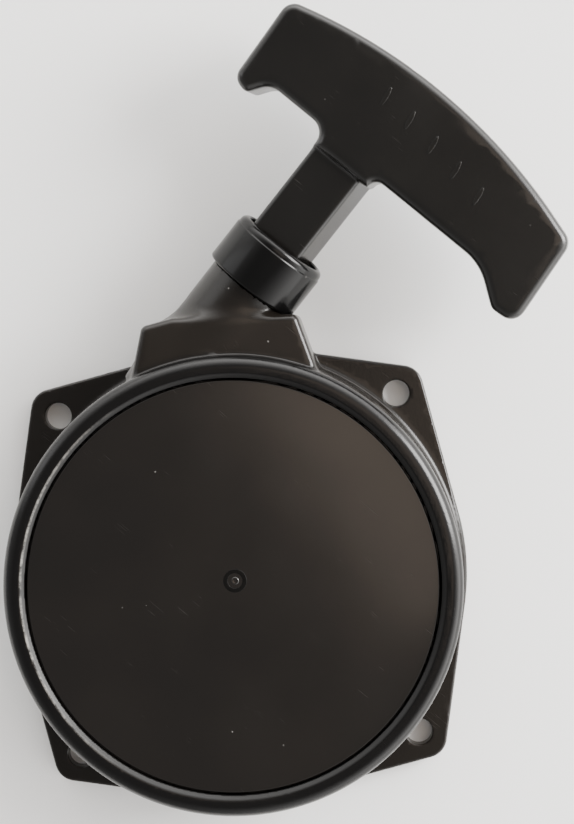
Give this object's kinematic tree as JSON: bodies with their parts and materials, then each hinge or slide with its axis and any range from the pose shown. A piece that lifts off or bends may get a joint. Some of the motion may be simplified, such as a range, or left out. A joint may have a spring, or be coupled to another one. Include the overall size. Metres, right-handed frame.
{
  "type": "recoil starter",
  "caption": "Round recoil starter for a small two-stroke engine: flanged black drum with an inset disc, a rope collar and an off-centre T-grip on a rope; reel, spring and pawls inside.",
  "frame": {"origin": "on the reel's axis, in the mounting face of the flange", "axes": "+Z along the reel's axis towards the closed front of the drum, +Y across the flange towards the neck that the rope leaves from"},
  "size_m": [0.1387, 0.1977, 0.0342],
  "materials": {
    "housing_plastic": "moulded black ABS, semi-gloss, lightly scuffed on the rim",
    "disc_plastic": "smooth black moulded disc with soft reflections and fine scratches",
    "collar_plastic": "glossy black, scratched by the rope and handle",
    "handle_plastic": "black grip plastic, fine moulded texture",
    "reel_nylon": "dark grey moulded nylon",
    "zinc_steel": "pressed, zinc plated steel",
    "hard_steel": "hardened sintered steel",
    "polished_steel": "ground steel",
    "spring_steel": "blued spring steel, lightly oiled",
    "bronze": "sintered bronze",
    "rope": "braided nylon starter rope"
  },
  "bodies": {
    "housing": {"housing": "housing_plastic", "front_disc": "disc_plastic", "rope_collar": "collar_plastic", "guide_bush": "polished_steel", "spring_cassette": "zinc_steel", "cassette_lid": "zinc_steel", "recoil_spring": "spring_steel", "post_insert": "bronze", "guide_plate": "zinc_steel", "friction_spring": "spring_steel", "screw_washer": "zinc_steel", "centre_screw": "zinc_steel"},
    "reel": {"rope_reel": "reel_nylon", "reel_bush": "bronze", "rope_coil": "rope", "reel_knot": "rope", "pawl_pin_1": "polished_steel", "pawl_clip_1": "spring_steel", "pawl_spring_1": "spring_steel", "pawl_pin_2": "polished_steel", "pawl_clip_2": "spring_steel", "pawl_spring_2": "spring_steel"},
    "pawl_a": {"pawl_1": "hard_steel"},
    "pawl_b": {"pawl_2": "hard_steel"},
    "handle": {"pull_handle": "handle_plastic", "handle_washer": "zinc_steel", "handle_knot": "rope", "rope_run": "rope"}
  },
  "joints": [
    {"name": "reel_spin", "type": "hinge", "parent": "housing", "child": "reel", "pos_m": [0, 0, 0.014], "axis": [0, 0, -1], "range_deg": [0, 1044], "stiffness_Nm_per_rad": 0.0165, "springref_deg": -1031.32, "deforming": ["recoil_spring"]},
    {"name": "handle_pull", "type": "slide", "parent": "housing", "child": "handle", "axis": [0.6186, 0.7777, 0.1115], "range_m": [0, 0.672], "deforming": ["rope_run"]},
    {"name": "pawl_1_swing", "type": "hinge", "parent": "reel", "child": "pawl_a", "pos_m": [0.019, 0, 0.007], "axis": [0, 0, 1], "range_deg": [0, 28], "stiffness_Nm_per_rad": 0.001, "springref_deg": -28.65, "deforming": ["pawl_spring_1"]},
    {"name": "pawl_2_swing", "type": "hinge", "parent": "reel", "child": "pawl_b", "pos_m": [-0.019, 0, 0.007], "axis": [0, 0, 1], "range_deg": [0, 28], "stiffness_Nm_per_rad": 0.001, "springref_deg": -28.65, "deforming": ["pawl_spring_2"]}
  ],
  "couplings": [
    {"joint": "handle_pull", "follows": "reel_spin", "m_per_rad": 0.03685}
  ]
}
